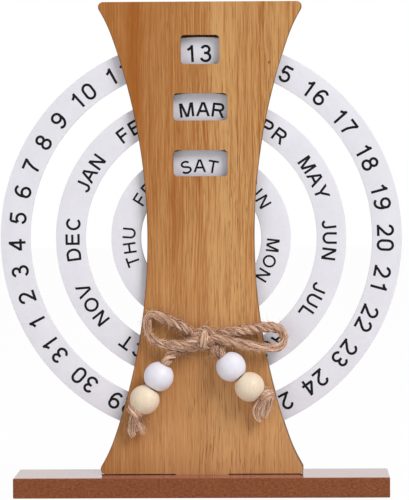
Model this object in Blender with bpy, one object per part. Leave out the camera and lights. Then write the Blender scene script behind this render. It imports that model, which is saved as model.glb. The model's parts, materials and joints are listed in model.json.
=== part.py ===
# Perpetual desk calendar: three printed rings that turn between two waisted boards on a base.
# Metres, +Z up, front towards -Y, origin on the table under the middle of the base.

import math

import bmesh
import bpy
from mathutils import Matrix, Vector

mm = 0.001

# Base board
base_width = 149 * mm
base_depth = 40 * mm
base_height = 8 * mm
base_edge_round = 0.4 * mm

# Waisted boards, front and back
panel_overhang = 14 * mm  # boards past the date ring, above it and below it
panel_waist_width = 42.6 * mm
side_radius = 240 * mm  # hollow of each long side
flare_radius = 60 * mm  # quicker hollow towards both ends
flare_height = 14 * mm
panel_corner_radius = 2 * mm
board_thickness = 3 * mm
tenon_width = 21 * mm
tenon_stop = 0.6 * mm  # the tenon ends this far above the table
mortise_clearance = 0.3 * mm
seat_gap = 0.3 * mm  # between faces that rest on or are glued to each other

# Printed rings: the weekday ring, and the month and date rings round it
weekday_ring_radius = 35.8 * mm
ring_width = 11.8 * mm
ring_spacing = 10.3 * mm  # open band between one ring and the next
ring_thickness = 3 * mm
ring_side_clearance = 0.4 * mm
ring_edge_clearance = 0.4 * mm
rim_clearance = 1.4 * mm  # between the date ring and the spacers beyond it
guide_setback = 1.5 * mm  # how far the guides stay inside the boards' edges

# Windows in the front board: width, height, and how far each sits above its ring's middle
date_window_width = 15.4 * mm
date_window_height = 11.6 * mm
date_window_rise = 0.9 * mm
month_window_width = 21.6 * mm
month_window_height = 10.8 * mm
month_window_rise = 0.2 * mm
weekday_window_width = 21.6 * mm
weekday_window_height = 10.4 * mm
weekday_window_rise = -0.1 * mm
window_corner_radius = 1.6 * mm

# Twine bow, glued to the front board by its knot
twine_diameter = 3.2 * mm
bow_drop = 39.6 * mm  # below the rings' middle
bow_offset = 1.4 * mm  # right of the middle
bow_knot_width = 7.2 * mm
bow_knot_height = 8.8 * mm
bow_knot_depth = 6.4 * mm
bow_wrap_width = 3.2 * mm
knot_gap = 0.5 * mm  # between a knot's surface and a twine's square end
left_loop_reach = 23.1 * mm
left_loop_rise = 9.4 * mm
right_loop_reach = 31.7 * mm
right_loop_rise = 4.1 * mm

# Beads on the bow's tails
bead_diameter = 11.8 * mm
bead_bore_clearance = 0.5 * mm
bead_rim = 0.9 * mm  # flat land between the bore and the round
left_bead_reach = 18.3 * mm  # from the middle of the bow's knot, sideways
left_bead_drop = 15.1 * mm
right_bead_reach = 10.4 * mm
right_bead_drop = 11.3 * mm
left_tail_slopes = (61, 56)  # degrees below the horizontal, white bead then natural bead
right_tail_slopes = (52, 43)

# Knots at the tails' ends, and the frayed twine below them
end_knot_width = 5.0 * mm
end_knot_height = 4.8 * mm
end_knot_depth = 5.0 * mm
left_fray_length = 8.6 * mm
left_fray_width = 5.4 * mm
left_fray_slope = 80  # degrees below the horizontal, turned from +X
right_fray_length = 9 * mm
right_fray_width = 5.8 * mm
right_fray_slope = 108

# Fineness of round shapes, in steps
side_steps = 40
flare_steps = 6
corner_steps = 6
ring_steps = 120
bead_steps = 28
bead_arc_steps = 9
guide_arc_steps = 28
knot_steps = 20
knot_rows = 12
fray_steps = 15
fray_rows = 6
twine_points_per_diameter = 1.1

# Worked out from the sizes above
panel_foot = base_height + seat_gap
ring_radii = [weekday_ring_radius + i * (ring_width + ring_spacing) for i in (2, 1, 0)]
date_ring_radius = ring_radii[0]
half_panel = date_ring_radius + panel_overhang
panel_middle = panel_foot + half_panel
half_waist = panel_waist_width / 2
layer_depth = ring_thickness + 2 * ring_side_clearance
spacer_thickness = layer_depth - 2 * seat_gap
half_layer = layer_depth / 2
panel_face = -half_layer - board_thickness
panel_back = -panel_face
tenon_depth = base_height + seat_gap - tenon_stop
side_centre = half_waist + side_radius
flare_turn = math.asin((half_panel - flare_height) / side_radius)  # where the two hollows meet
flare_centre = (side_centre - (side_radius - flare_radius) * math.cos(flare_turn),
                (side_radius - flare_radius) * math.sin(flare_turn))
twine_radius = twine_diameter / 2
bead_radius = bead_diameter / 2
bore_radius = twine_radius + bead_bore_clearance
bead_flat_radius = bore_radius + bead_rim
bead_half_length = math.sqrt(bead_radius**2 - bead_flat_radius**2)
knot_centre = Vector((bow_offset, panel_face - seat_gap - bow_knot_depth / 2, panel_middle - bow_drop))
bead_depth = panel_face - seat_gap - bead_radius
twine_depth = panel_face - seat_gap - twine_radius  # centre of twine that lies on the board

materials = {}


def clear_scene():
    for thing in list(bpy.data.objects):
        bpy.data.objects.remove(thing)


def material(name, colour, roughness, metallic=0.0):
    if name not in materials:
        made = bpy.data.materials.new(name)
        made.use_nodes = True
        shader = made.node_tree.nodes["Principled BSDF"]
        shader.inputs["Base Color"].default_value = (*colour, 1)
        shader.inputs["Roughness"].default_value = roughness
        shader.inputs["Metallic"].default_value = metallic
        materials[name] = made
    return materials[name]


def pine():
    return material("oiled pine", (0.50, 0.24, 0.09), 0.5)


def spacer_wood():
    return material("spacer wood", (0.42, 0.25, 0.13), 0.7)


def base_brown():
    return material("brown lacquer", (0.21, 0.07, 0.035), 0.2)


def ring_white():
    return material("white ring paint", (0.80, 0.78, 0.84), 0.45)


def jute():
    return material("jute twine", (0.47, 0.29, 0.19), 0.95)


def bead_white():
    return material("white bead paint", (0.84, 0.83, 0.90), 0.4)


def bead_wood():
    return material("bare bead wood", (0.84, 0.70, 0.52), 0.5)


def link(thing, finish, smooth_angle=30):
    """Puts an object in the scene with its material, shaded smooth below an angle in degrees."""
    bpy.context.scene.collection.objects.link(thing)
    thing.data.materials.append(finish)
    if thing.type == "MESH":
        thing.data.shade_smooth()
        thing.data.set_sharp_from_angle(angle=math.radians(smooth_angle))
    return thing


def mesh_object(name, shape):
    bmesh.ops.recalc_face_normals(shape, faces=shape.faces[:])
    mesh = bpy.data.meshes.new(name)
    shape.to_mesh(mesh)
    shape.free()
    return bpy.data.objects.new(name, mesh)


def prism(name, outline, front, back):
    """Extrudes an outline of (x, z) points from depth front to depth back."""
    shape = bmesh.new()
    face = shape.faces.new([shape.verts.new((x, front, z)) for x, z in outline])
    moved = bmesh.ops.extrude_face_region(shape, geom=[face])["geom"]
    corners = [v for v in moved if isinstance(v, bmesh.types.BMVert)]
    bmesh.ops.translate(shape, verts=corners, vec=(0, back - front, 0))
    return mesh_object(name, shape)


def turned(name, profile, steps):
    """Spins a closed profile of (radius, along) points about the Z axis."""
    shape = bmesh.new()
    ring = [shape.verts.new((radius, 0, along)) for radius, along in profile]
    edges = [shape.edges.new((a, b)) for a, b in zip(ring, ring[1:] + ring[:1])]
    bmesh.ops.spin(shape, geom=ring + edges, angle=2 * math.pi, steps=steps,
                   axis=(0, 0, 1), cent=(0, 0, 0), use_merge=True)
    return mesh_object(name, shape)


def cut(target, cutter):
    """Takes the cutter out of the target with an exact Boolean."""
    bpy.context.scene.collection.objects.link(cutter)
    cutter.hide_render = True
    cutter.display_type = "WIRE"
    boolean = target.modifiers.new("cut by " + cutter.name, "BOOLEAN")
    boolean.object = cutter
    boolean.operation = "DIFFERENCE"
    boolean.solver = "EXACT"


def arc(centre, radius, start, end, steps):
    """Points on an arc in the XZ plane; angles in radians from +X towards +Z."""
    turns = [start + (end - start) * i / steps for i in range(steps + 1)]
    return [(centre[0] + radius * math.cos(t), centre[1] + radius * math.sin(t)) for t in turns]


def mirrored(points):
    return [(-x, z) for x, z in reversed(points)]


def side_place(height, setback):
    """How far the right-hand side, set back into the board, is from the middle line at a height."""
    centre, radius = (side_centre, 0), side_radius
    if abs(height) > flare_centre[1] + (flare_radius + setback) * math.sin(flare_turn):
        centre, radius = flare_centre, flare_radius
    return centre[0] - math.sqrt((radius + setback) ** 2 - (abs(height) - centre[1]) ** 2)


def side_curve(setback, low, high, steps):
    """The right-hand hollow side between two heights from the boards' middle."""
    heights = [low + (high - low) * i / steps for i in range(steps + 1)]
    return [(side_place(h, setback), h) for h in heights]


def top_right_corner():
    """The corner's round, tangent to the flare below it and to the top edge."""
    height = half_panel - panel_corner_radius
    rise = height - flare_centre[1]
    across = math.sqrt((flare_radius + panel_corner_radius) ** 2 - rise**2)
    start = math.atan2(-rise, across)
    centre = (flare_centre[0] - across, height)
    return arc(centre, panel_corner_radius, start, math.pi / 2, corner_steps)


def board_outline():
    """Right half from the tenon up to the top edge, then its mirror image."""
    corner = top_right_corner()
    flare_foot = half_panel - flare_height
    side = side_curve(0, -flare_foot, flare_foot, side_steps)
    upper = side_curve(0, flare_foot, corner[0][1], flare_steps)[1:-1] + corner
    lower = [(x, -h) for x, h in reversed(upper)]
    tenon = [(tenon_width / 2, -half_panel - tenon_depth), (tenon_width / 2, -half_panel)]
    right = tenon + lower + side + upper
    return lift(right + mirrored(right))


def lift(points):
    """Moves points given about the boards' middle up to their height over the table."""
    return [(x, h + panel_middle) for x, h in points]


def rounded_window(width, height, radius, middle):
    corners = ((1, -1, -0.5), (1, 1, 0), (-1, 1, 0.5), (-1, -1, 1))
    points = []
    for across, up, start in corners:
        centre = (across * (width / 2 - radius), middle + up * (height / 2 - radius))
        begin = start * math.pi
        points += arc(centre, radius, begin, begin + math.pi / 2, corner_steps)
    return points


def window_sizes():
    """Width, height and middle of each window, over its ring's band."""
    sizes = ((date_window_width, date_window_height, date_window_rise),
             (month_window_width, month_window_height, month_window_rise),
             (weekday_window_width, weekday_window_height, weekday_window_rise))
    names = ("date", "month", "weekday")
    for name, radius, (width, height, rise) in zip(names, ring_radii, sizes):
        yield name, width, height, panel_middle + radius - ring_width / 2 + rise


def make_boards():
    outline = board_outline()
    front = link(prism("front_panel", outline, panel_face, -half_layer), pine())
    link(prism("back_panel", outline, half_layer, panel_back), pine())
    for name, width, height, middle in window_sizes():
        hole = rounded_window(width, height, window_corner_radius, middle)
        cut(front, prism(name + "_window_cutter", hole, panel_face - board_thickness, 0))


def make_base():
    shape = bmesh.new()
    bmesh.ops.create_cube(shape, size=1)
    bmesh.ops.scale(shape, verts=shape.verts[:], vec=(base_width, base_depth, base_height))
    bmesh.ops.translate(shape, verts=shape.verts[:], vec=(0, 0, base_height / 2))
    base = link(mesh_object("base_board", shape), base_brown())
    rounding = base.modifiers.new("edge round", "BEVEL")
    rounding.width = base_edge_round
    rounding.segments = 2
    half = tenon_width / 2 + mortise_clearance
    bottom, top = -base_height, 2 * base_height
    mortise = [(-half, bottom), (half, bottom), (half, top), (-half, top)]
    reach = panel_back + mortise_clearance
    cut(base, prism("mortise_cutter", mortise, -reach, reach))


def make_rings():
    """Each ring is a flat band turned about the depth axis through the boards' middle."""
    for name, radius in zip(("date_ring", "month_ring", "weekday_ring"), ring_radii):
        inner, half = radius - ring_width, ring_thickness / 2
        band = [(inner, -half), (radius, -half), (radius, half), (inner, half)]
        ring = link(turned(name, band, ring_steps), ring_white())
        ring.rotation_euler = (math.pi / 2, 0, 0)
        ring.location = (0, 0, panel_middle)


def guide_side(radius):
    """Where a circle about the middle meets the guides' inset side, as (x, height).
    A circle narrower than the waist meets nothing, and its own side is given."""
    inset = side_radius + guide_setback
    x = min(radius, (radius**2 - inset**2 + side_centre**2) / (2 * side_centre))
    return x, math.sqrt(radius**2 - x**2)


def guide_arc(radius):
    """The arc of a guide's edge above the middle, from its right end to its left end."""
    x, height = guide_side(radius)
    start = math.atan2(height, x)
    return arc((0, 0), radius, start, math.pi - start, guide_arc_steps)


def spacer(name, points):
    link(prism(name, lift(points), -spacer_thickness / 2, spacer_thickness / 2), spacer_wood())


def make_guides():
    """Curved blocks that fill the space between rings and keep each ring on its circle."""
    below = [r - ring_width - ring_edge_clearance for r in ring_radii]
    above = [r + ring_edge_clearance for r in ring_radii]
    above[0] = date_ring_radius + rim_clearance
    names = ("outer_guide", "inner_guide")
    for name, inner, outer in zip(names, above[1:], below[:2]):
        low, high = guide_side(inner)[1], guide_side(outer)[1]
        right = side_curve(guide_setback, low, high, flare_steps)[1:-1]
        upper = guide_arc(outer) + mirrored(right) + guide_arc(inner)[::-1] + right
        spacer("upper_" + name, upper)
        spacer("lower_" + name, [(x, -h) for x, h in upper])

    hub_arc = guide_arc(below[2])
    height = hub_arc[0][1]
    right = side_curve(guide_setback, -height, height, side_steps)[1:-1]
    left = mirrored(right)
    spacer("hub_spacer", hub_arc + left + [(x, -h) for x, h in reversed(hub_arc)] + right)

    top = half_panel - guide_setback
    rim = guide_arc(above[0])
    low = rim[0][1]
    right = side_curve(guide_setback, low, top, flare_steps)[1:]
    spacer("top_spacer", mirrored(right) + rim[::-1] + right)

    right = side_curve(guide_setback, low, half_panel, flare_steps)[1:]
    foot = [(x, -h) for x, h in mirrored(right) + rim[::-1] + right]
    tenon = [(tenon_width / 2, -half_panel), (tenon_width / 2, -half_panel - tenon_depth)]
    spacer("foot_spacer", foot + tenon + mirrored(tenon))


def smooth_route(points, spacing):
    """Points about one spacing apart on a smooth curve through the route's own points."""
    ends = [points[0] * 2 - points[1]] + points + [points[-1] * 2 - points[-2]]
    found = []
    for a, b, c, d in zip(ends, ends[1:], ends[2:], ends[3:]):
        count = max(1, round((c - b).length / spacing))
        for i in range(count):
            t = i / count
            found.append(0.5 * (2 * b + (c - a) * t + (2 * a - 5 * b + 4 * c - d) * t**2
                                + (3 * b - a - 3 * c + d) * t**3))
    return found + [points[-1]]


def twine(name, route):
    """A plain tube of the twine's diameter along a route, with closed ends."""
    points = smooth_route(route, twine_diameter / twine_points_per_diameter)
    line = bpy.data.curves.new(name, "CURVE")
    line.dimensions = "3D"
    line.bevel_depth = twine_radius
    line.bevel_resolution = 2
    line.use_fill_caps = True
    spline = line.splines.new("POLY")
    spline.points.add(len(points) - 1)
    for point, place in zip(spline.points, points):
        point.co = (*place, 1)
    link(bpy.data.objects.new(name, line), jute())


def knot_side(centre, sizes, towards):
    """A point just clear of a knot's surface, in a direction (x, y, z) from its centre."""
    way = Vector(towards).normalized()
    reach = 1 / math.sqrt(sum((part / (size / 2)) ** 2 for part, size in zip(way, sizes)))
    return centre + way * (reach + knot_gap)


# Loop routes as shares: along the reach, out from the board in twine diameters, up the rise.
# Their ends are shares of the knot's half width, depth and height.
left_loop_start_shares = (-1.14, 0.5, 0.3)
left_loop_end_shares = (-1.14, -0.52, -0.22)
right_loop_start_shares = (1.14, 0.5, 0.3)
right_loop_end_shares = (1.14, -0.52, 0)
left_loop_shares = (
    (-0.27, 0.14, 0.32), (-0.43, 0.06, 0.53), (-0.62, 0.00, 0.74), (-0.79, 0.00, 0.93),
    (-0.89, 0.05, 1.00), (-0.965, 0.14, 0.92), (-1.00, 0.24, 0.65), (-0.99, 0.34, 0.30),
    (-0.93, 0.44, 0.03), (-0.81, 0.60, -0.17), (-0.64, 0.80, -0.28), (-0.46, 0.94, -0.28),
    (-0.29, 1.00, -0.22),
)
right_loop_shares = (
    (0.20, 0.10, 0.44), (0.33, 0.06, 0.54), (0.46, 0.03, 0.66), (0.60, 0.02, 0.82),
    (0.74, 0.04, 0.97), (0.86, 0.10, 1.00), (0.95, 0.20, 0.70), (1.00, 0.32, 0.02),
    (0.96, 0.44, -0.66), (0.87, 0.54, -0.97), (0.75, 0.62, -0.98), (0.62, 0.70, -0.82),
    (0.48, 0.78, -0.60), (0.34, 0.88, -0.36), (0.22, 0.96, -0.12),
)


def by_the_knot(shares):
    """A place beside the bow's knot, in shares of the knot's half width, depth and height."""
    halves = Vector((bow_knot_width, bow_knot_depth, bow_knot_height)) / 2
    return knot_centre + halves * Vector(shares)


def loop_route(shares, reach, rise, start_shares, end_shares):
    middle = [Vector((knot_centre.x + along * reach, twine_depth - out * twine_diameter,
                      knot_centre.z + up * rise)) for along, out, up in shares]
    return [by_the_knot(start_shares), *middle, by_the_knot(end_shares)]


def make_knot(name, centre, size, lobes, turn):
    """A pulled-tight knot: an ellipsoid whose surface swells in lobes that wind round it."""
    lobe_share = 0.07
    shape = bmesh.new()
    bmesh.ops.create_uvsphere(shape, u_segments=knot_steps, v_segments=knot_rows, radius=1)
    for vert in shape.verts:
        round_it = math.atan2(vert.co.y, vert.co.x)
        flat = math.hypot(vert.co.x, vert.co.y)
        swell = 1 - lobe_share + lobe_share * flat * math.cos(lobes * round_it + turn * vert.co.z)
        vert.co = Vector([part * swell * side / 2 for part, side in zip(vert.co, size)])
    knot = link(mesh_object(name, shape), jute(), 60)
    knot.location = centre
    return knot


def make_bow_knot():
    """The strands that pass through the knot, turned about X, with one wrap standing out round them."""
    strand_share, end_share, wrap_edge_share = 0.86, 0.97, 0.9
    half = bow_knot_width / 2
    wrap = bow_wrap_width / 2
    strands = [-end_share * half, -(half + wrap) / 2, -wrap]
    profile = [(strand_share * math.sqrt(1 - (place / half) ** 2), place) for place in strands]
    for place in (-wrap * wrap_edge_share, -wrap / 2, 0):
        profile.append((math.sqrt(1 - (place / half) ** 2), place))
    profile += [(radius, -place) for radius, place in reversed(profile[:-1])]
    ends = [(0, profile[0][1]), *profile, (0, profile[-1][1])]
    knot = turned("bow_knot", ends, knot_steps)
    knot.data.transform(Matrix.Rotation(math.pi / 2, 4, "Y"))
    knot.data.transform(Matrix.Diagonal((1, bow_knot_depth / 2, bow_knot_height / 2, 1)))
    link(knot, jute(), 60).location = knot_centre


def make_bow():
    make_bow_knot()
    twine("bow_loop_left", loop_route(left_loop_shares, left_loop_reach, left_loop_rise,
                                      left_loop_start_shares, left_loop_end_shares))
    twine("bow_loop_right", loop_route(right_loop_shares, right_loop_reach, right_loop_rise,
                                       right_loop_start_shares, right_loop_end_shares))


def bead_profile():
    """Bore, flat end, round and flat end, as (radius, along the bore)."""
    start = math.acos(bead_flat_radius / bead_radius)
    turns = [-start + 2 * start * i / bead_arc_steps for i in range(bead_arc_steps + 1)]
    round_part = [(bead_radius * math.cos(t), bead_radius * math.sin(t)) for t in turns]
    return [(bore_radius, -bead_half_length), *round_part, (bore_radius, bead_half_length)]


def make_bead(name, centre, way, finish):
    bead = link(turned(name, bead_profile(), bead_steps), finish)
    bead.rotation_mode = "QUATERNION"
    bead.rotation_quaternion = way.to_track_quat("Z", "Y")
    bead.location = centre


def make_fray(name, top, length, width, slope):
    """Unlaid twine below an end knot: a flaring bundle of lobes that curls back to the board."""
    down = Vector((math.cos(math.radians(slope)), 0, -math.sin(math.radians(slope))))
    across = Vector((-down.z, 0, down.x))
    to_board = Vector((0, 1, 0))
    lobes = 5
    lobe_share, curl_share, widest_share, end_share = 0.18, 0.12, 0.83, 0.55
    shape = bmesh.new()
    rows = []
    for row in range(fray_rows + 1):
        t = row / fray_rows
        swell = twine_diameter + (width - twine_diameter) * math.sin(math.pi / 2 * t / widest_share)
        swell *= 1 if row < fray_rows else end_share
        middle = top + down * (length * t) + to_board * (length * curl_share * t**2)
        verts = []
        for step in range(fray_steps):
            turn = 2 * math.pi * step / fray_steps
            reach = swell / 2 * (1 - lobe_share * t * (1 - math.cos(lobes * turn)) / 2)
            verts.append(shape.verts.new(middle + across * (reach * math.cos(turn))
                                         + to_board * (reach * math.sin(turn))))
        rows.append(verts)
    for upper, lower in zip(rows, rows[1:]):
        for i in range(fray_steps):
            j = (i + 1) % fray_steps
            shape.faces.new((upper[i], upper[j], lower[j], lower[i]))
    shape.faces.new(rows[0])
    shape.faces.new(rows[-1])
    link(mesh_object(name, shape), jute(), 60)


def make_tail(side, toward, bead_reach, bead_drop, slopes, start_shares, lead_shares, fray):
    """One tail: twine from the bow's knot through two beads to an end knot and its frayed end."""
    ways = [Vector((toward * math.cos(math.radians(s)), 0, -math.sin(math.radians(s)))) for s in slopes]
    tilt = math.radians(abs(slopes[0] - slopes[1])) / 2
    half_pitch = bead_half_length + seat_gap / 2 + bead_flat_radius * math.sin(tilt)
    white = Vector((knot_centre.x + toward * bead_reach, bead_depth, knot_centre.z - bead_drop))
    meeting = white + ways[0] * half_pitch
    natural = meeting + ways[1] * half_pitch
    make_bead("white_bead_" + side, white, ways[0], bead_white())
    make_bead("natural_bead_" + side, natural, ways[1], bead_wood())

    start = by_the_knot(start_shares)
    entry = white - ways[0] * bead_half_length
    lead = [start + Vector([share * part for share, part in zip(shares, entry - start)])
            for shares in lead_shares]
    leave = natural + ways[1] * bead_half_length
    end_size = (end_knot_width, end_knot_depth, end_knot_height)
    knot_radius = min(end_size) / 2
    end = leave + ways[1] * seat_gap
    end_knot = end + ways[1] * (knot_gap + knot_radius)
    twine("bow_tail_" + side, [start, *lead, entry, white, meeting, natural, leave, end])
    make_knot("end_knot_" + side, end_knot, end_size, 3, 2)

    length, width, slope = fray
    down = (math.cos(math.radians(slope)), 0, -math.sin(math.radians(slope)))
    make_fray("frayed_end_" + side, knot_side(end_knot, end_size, down), length, width, slope)


# Tail leads as shares of the way from the bow's knot to the first bead: across, out, down.
# Their starts are shares of the knot's half width, depth and height.
left_tail_start_shares = (-0.95, 0.5, -0.8)
right_tail_start_shares = (0.98, 0.44, -0.7)
left_lead_shares = ((0.30, 0.00, 0.08), (0.55, 0.08, 0.21), (0.80, 0.55, 0.46), (0.94, 0.93, 0.78))
right_lead_shares = ((0.40, 0.55, 0.35), (0.75, 0.93, 0.68))


def make_tails():
    make_tail("left", -1, left_bead_reach, left_bead_drop, left_tail_slopes,
              left_tail_start_shares, left_lead_shares,
              (left_fray_length, left_fray_width, left_fray_slope))
    make_tail("right", 1, right_bead_reach, right_bead_drop, right_tail_slopes,
              right_tail_start_shares, right_lead_shares,
              (right_fray_length, right_fray_width, right_fray_slope))


clear_scene()
make_base()
make_boards()
make_guides()
make_rings()
make_bow()
make_tails()
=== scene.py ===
import json
import math

import bpy
import numpy as np
from mathutils import Matrix, Vector
from mathutils.geometry import delaunay_2d_cdt


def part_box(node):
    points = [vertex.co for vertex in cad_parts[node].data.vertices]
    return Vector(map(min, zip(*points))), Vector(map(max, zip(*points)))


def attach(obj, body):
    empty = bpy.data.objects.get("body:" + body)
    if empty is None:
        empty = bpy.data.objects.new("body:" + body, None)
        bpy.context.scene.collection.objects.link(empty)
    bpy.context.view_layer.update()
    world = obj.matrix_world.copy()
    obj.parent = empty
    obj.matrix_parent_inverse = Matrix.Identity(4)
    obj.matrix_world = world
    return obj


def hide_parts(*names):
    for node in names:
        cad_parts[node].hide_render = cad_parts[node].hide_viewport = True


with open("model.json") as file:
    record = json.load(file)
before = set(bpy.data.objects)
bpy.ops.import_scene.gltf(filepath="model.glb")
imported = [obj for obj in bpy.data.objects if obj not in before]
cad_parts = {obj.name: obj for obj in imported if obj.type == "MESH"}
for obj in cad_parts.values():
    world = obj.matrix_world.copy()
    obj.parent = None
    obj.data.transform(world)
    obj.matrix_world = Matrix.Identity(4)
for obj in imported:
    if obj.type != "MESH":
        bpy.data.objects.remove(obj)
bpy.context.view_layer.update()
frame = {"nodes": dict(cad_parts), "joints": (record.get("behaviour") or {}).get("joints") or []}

# Perpetual desk calendar: finishes, print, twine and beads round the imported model.
# Lengths are in metres, written as millimetres times mm; linear() takes sRGB colours from 0 to 255.
# Shaders work in millimetres, on object coordinates.

mm = 0.001
joints = {joint["name"]: joint for joint in frame["joints"]}
ringMiddle = np.array(joints["date_ring_turn"]["pos_m"])
print("frame loaded:", len(frame["nodes"]), "nodes")


# Sets each input of a node or a group: a socket is linked to it, and a value is written on it.
def feed(tree, made, inputs):
    for key, value in inputs.items():
        if isinstance(value, bpy.types.NodeSocket):
            tree.links.new(value, made.inputs[key])
        else:
            made.inputs[key].default_value = value
    return made


# Adds one shader node, with its settings and its inputs.
def node(tree, kind, inputs=None, **settings):
    made = tree.nodes.new("ShaderNode" + kind)
    for key, value in settings.items():
        setattr(made, key, value)
    return feed(tree, made, inputs or {})


# One Math node on two values.
def maths(tree, operation, first, second=0.0):
    return node(tree, "Math", {0: first, 1: second}, operation=operation).outputs[0]


# First times second.
def times(tree, first, second):
    return maths(tree, "MULTIPLY", first, second)


# First plus second.
def plus(tree, first, second):
    return maths(tree, "ADD", first, second)


# First less second.
def minus(tree, first, second):
    return maths(tree, "SUBTRACT", first, second)


# A value carried from low..high to outLow..outHigh, with a soft start and end.
def between(tree, value, low, high, outLow=0.0, outHigh=1.0):
    inputs = {"Value": value, "From Min": low, "From Max": high, "To Min": outLow, "To Max": outHigh}
    return node(tree, "MapRange", inputs, interpolation_type="SMOOTHSTEP").outputs["Result"]


# First times (1 - share) plus second times share, for colours.
def mixColour(tree, share, first, second):
    return node(tree, "Mix", {0: share, 6: first, 7: second}, data_type="RGBA").outputs[2]


# The same for plain values.
def mixValue(tree, share, first, second):
    return node(tree, "Mix", {0: share, 2: first, 3: second}, data_type="FLOAT").outputs[0]


# Straight lines between stops, which are (place, grey share) or (place, colour).
def ramp(tree, share, stops):
    made = node(tree, "ValToRGB", {"Fac": share})
    elements = made.color_ramp.elements
    while len(elements) < len(stops):
        elements.new(1)
    for element, (place, value) in zip(elements, stops):
        element.position = place
        element.color = value if isinstance(value, tuple) else (value, value, value, 1)
    return made.outputs["Color"]


# Fractal noise from 0 to 1, read at a place.
def noise(tree, vector, scale, detail=2.0, roughness=0.5):
    inputs = {"Vector": vector, "Scale": scale, "Detail": detail, "Roughness": roughness}
    return node(tree, "TexNoise", inputs).outputs["Fac"]


# A vector times a scale, axis by axis.
def stretched(tree, vector, scale):
    return node(tree, "VectorMath", {0: vector, 1: scale}, operation="MULTIPLY").outputs[0]


# The distance from a vector to a point.
def distanceTo(tree, vector, point):
    return node(tree, "VectorMath", {0: vector, 1: point}, operation="DISTANCE").outputs["Value"]


# Object coordinates in millimetres.
def placeMm(tree):
    coordinates = node(tree, "TexCoord").outputs["Object"]
    return stretched(tree, coordinates, (1 / mm, 1 / mm, 1 / mm))


# How far the surface faces along an axis, either way: the size of the normal's share on that axis.
def facing(tree, axis):
    normal = node(tree, "TexCoord").outputs["Normal"]
    return maths(tree, "ABSOLUTE", node(tree, "SeparateXYZ", {0: normal}).outputs[axis])


# An sRGB colour, 0 to 255, as the linear colour that shaders take: c / 12.92 for the darkest shares,
# else ((c + 0.055) / 1.055) to the power 2.4.
def linear(red, green, blue):
    share = np.array((red, green, blue)) / 255
    value = np.where(share <= 0.04045, share / 12.92, ((share + 0.055) / 1.055) ** 2.4)
    return (*value.tolist(), 1.0)


# An empty node group with sockets (label, kind, value) in and (label, kind) out.
def shaderGroup(name, inputs, outputs):
    group = bpy.data.node_groups.new(name, "ShaderNodeTree")
    for label, kind, value in inputs:
        socket = group.interface.new_socket(label, in_out="INPUT", socket_type="NodeSocket" + kind)
        socket.default_value = value
    for label, kind in outputs:
        group.interface.new_socket(label, in_out="OUTPUT", socket_type="NodeSocket" + kind)
    return group, group.nodes.new("NodeGroupInput").outputs, group.nodes.new("NodeGroupOutput").inputs


# Puts a group in a tree and gives its outputs.
def placeGroup(tree, group, inputs):
    made = tree.nodes.new("ShaderNodeGroup")
    made.node_tree = group
    return feed(tree, made, inputs).outputs


# A new material and its tree. The specular level is a plain number on the shader's own socket.
def newMaterial(name, specular=0.5):
    material = bpy.data.materials.new(name)
    material.use_nodes = True
    tree = material.node_tree
    tree.nodes["Principled BSDF"].inputs["Specular IOR Level"].default_value = specular
    return material, tree


# Joins a colour, a roughness and a bump (height, strength, depth) to the material's shader.
def dress(material, colour, rough, height=None, strength=0.0, depth=0.0):
    tree = material.node_tree
    shader = tree.nodes["Principled BSDF"].inputs
    tree.links.new(colour, shader["Base Color"])
    tree.links.new(rough, shader["Roughness"])
    if height is not None:
        bump = node(tree, "Bump", {"Height": height, "Strength": strength, "Distance": depth})
        tree.links.new(bump.outputs["Normal"], shader["Normal"])
    return material


# Straight grain along Z. Each noise has its scales across (X, Y) and along (Z) the grain, in shares per mm.
woodGrain = {
    "wander": (0.03, 0.03, 0.012), "wanderReach": 1.1,   # the lines drift so many mm sideways
    "bands": (0.3, 0.3, 0.006), "slowShare": 0.4,
    "streaks": (1.5, 1.5, 0.02), "streakRoughness": 0.65,
    "fibres": (3.8, 3.8, 0.07), "fibreRoughness": 0.7, "fineShare": 1.7,
    "pores": (4.0, 4.0, 0.14), "poreEdge": (0.60, 0.72),
    "poreField": (0.14, 0.14, 0.014), "poreFieldEdge": (0.28, 0.52),
}


# Tone is streaks plus fine fibres plus slow bands, each taken about its middle and times Streaks. A pore is
# the peak of one noise where a slower one, the pore field, is high. Height is the fibres less the pores.
def makeWoodGroup():
    group, given, out = shaderGroup(
        "straightGrain",
        [("Place", "Vector", (0, 0, 0)), ("Streaks", "Float", 0.5), ("Pores", "Float", 0.5)],
        [("Tone", "Float"), ("Pore", "Float"), ("Height", "Float")])

    def field(name, place, detail, roughness=0.5):
        return noise(group, stretched(group, place, woodGrain[name]), 1, detail, roughness)

    reach = woodGrain["wanderReach"]
    sideways = between(group, field("wander", given["Place"], 2), 0.2, 0.8, -reach, reach)
    shift = node(group, "CombineXYZ", {"X": sideways}).outputs[0]
    place = node(group, "VectorMath", {0: given["Place"], 1: shift}, operation="ADD").outputs[0]
    streaks = field("streaks", place, 3, woodGrain["streakRoughness"])
    fibres = field("fibres", place, 3, woodGrain["fibreRoughness"])
    swing = times(group, minus(group, streaks, 0.5), given["Streaks"])
    fine = times(group, minus(group, fibres, 0.5), given["Streaks"])
    tone = plus(group, swing, times(group, fine, woodGrain["fineShare"]))
    slow = minus(group, field("bands", place, 2), 0.5)
    tone = plus(group, tone, times(group, slow, times(group, given["Streaks"], woodGrain["slowShare"])))
    dark = times(group, between(group, field("pores", place, 1), *woodGrain["poreEdge"]),
                 between(group, field("poreField", place, 1), *woodGrain["poreFieldEdge"]))
    pore = times(group, dark, given["Pores"])
    group.links.new(tone, out["Tone"])
    group.links.new(pore, out["Pore"])
    group.links.new(minus(group, fibres, pore), out["Height"])
    return group


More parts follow.
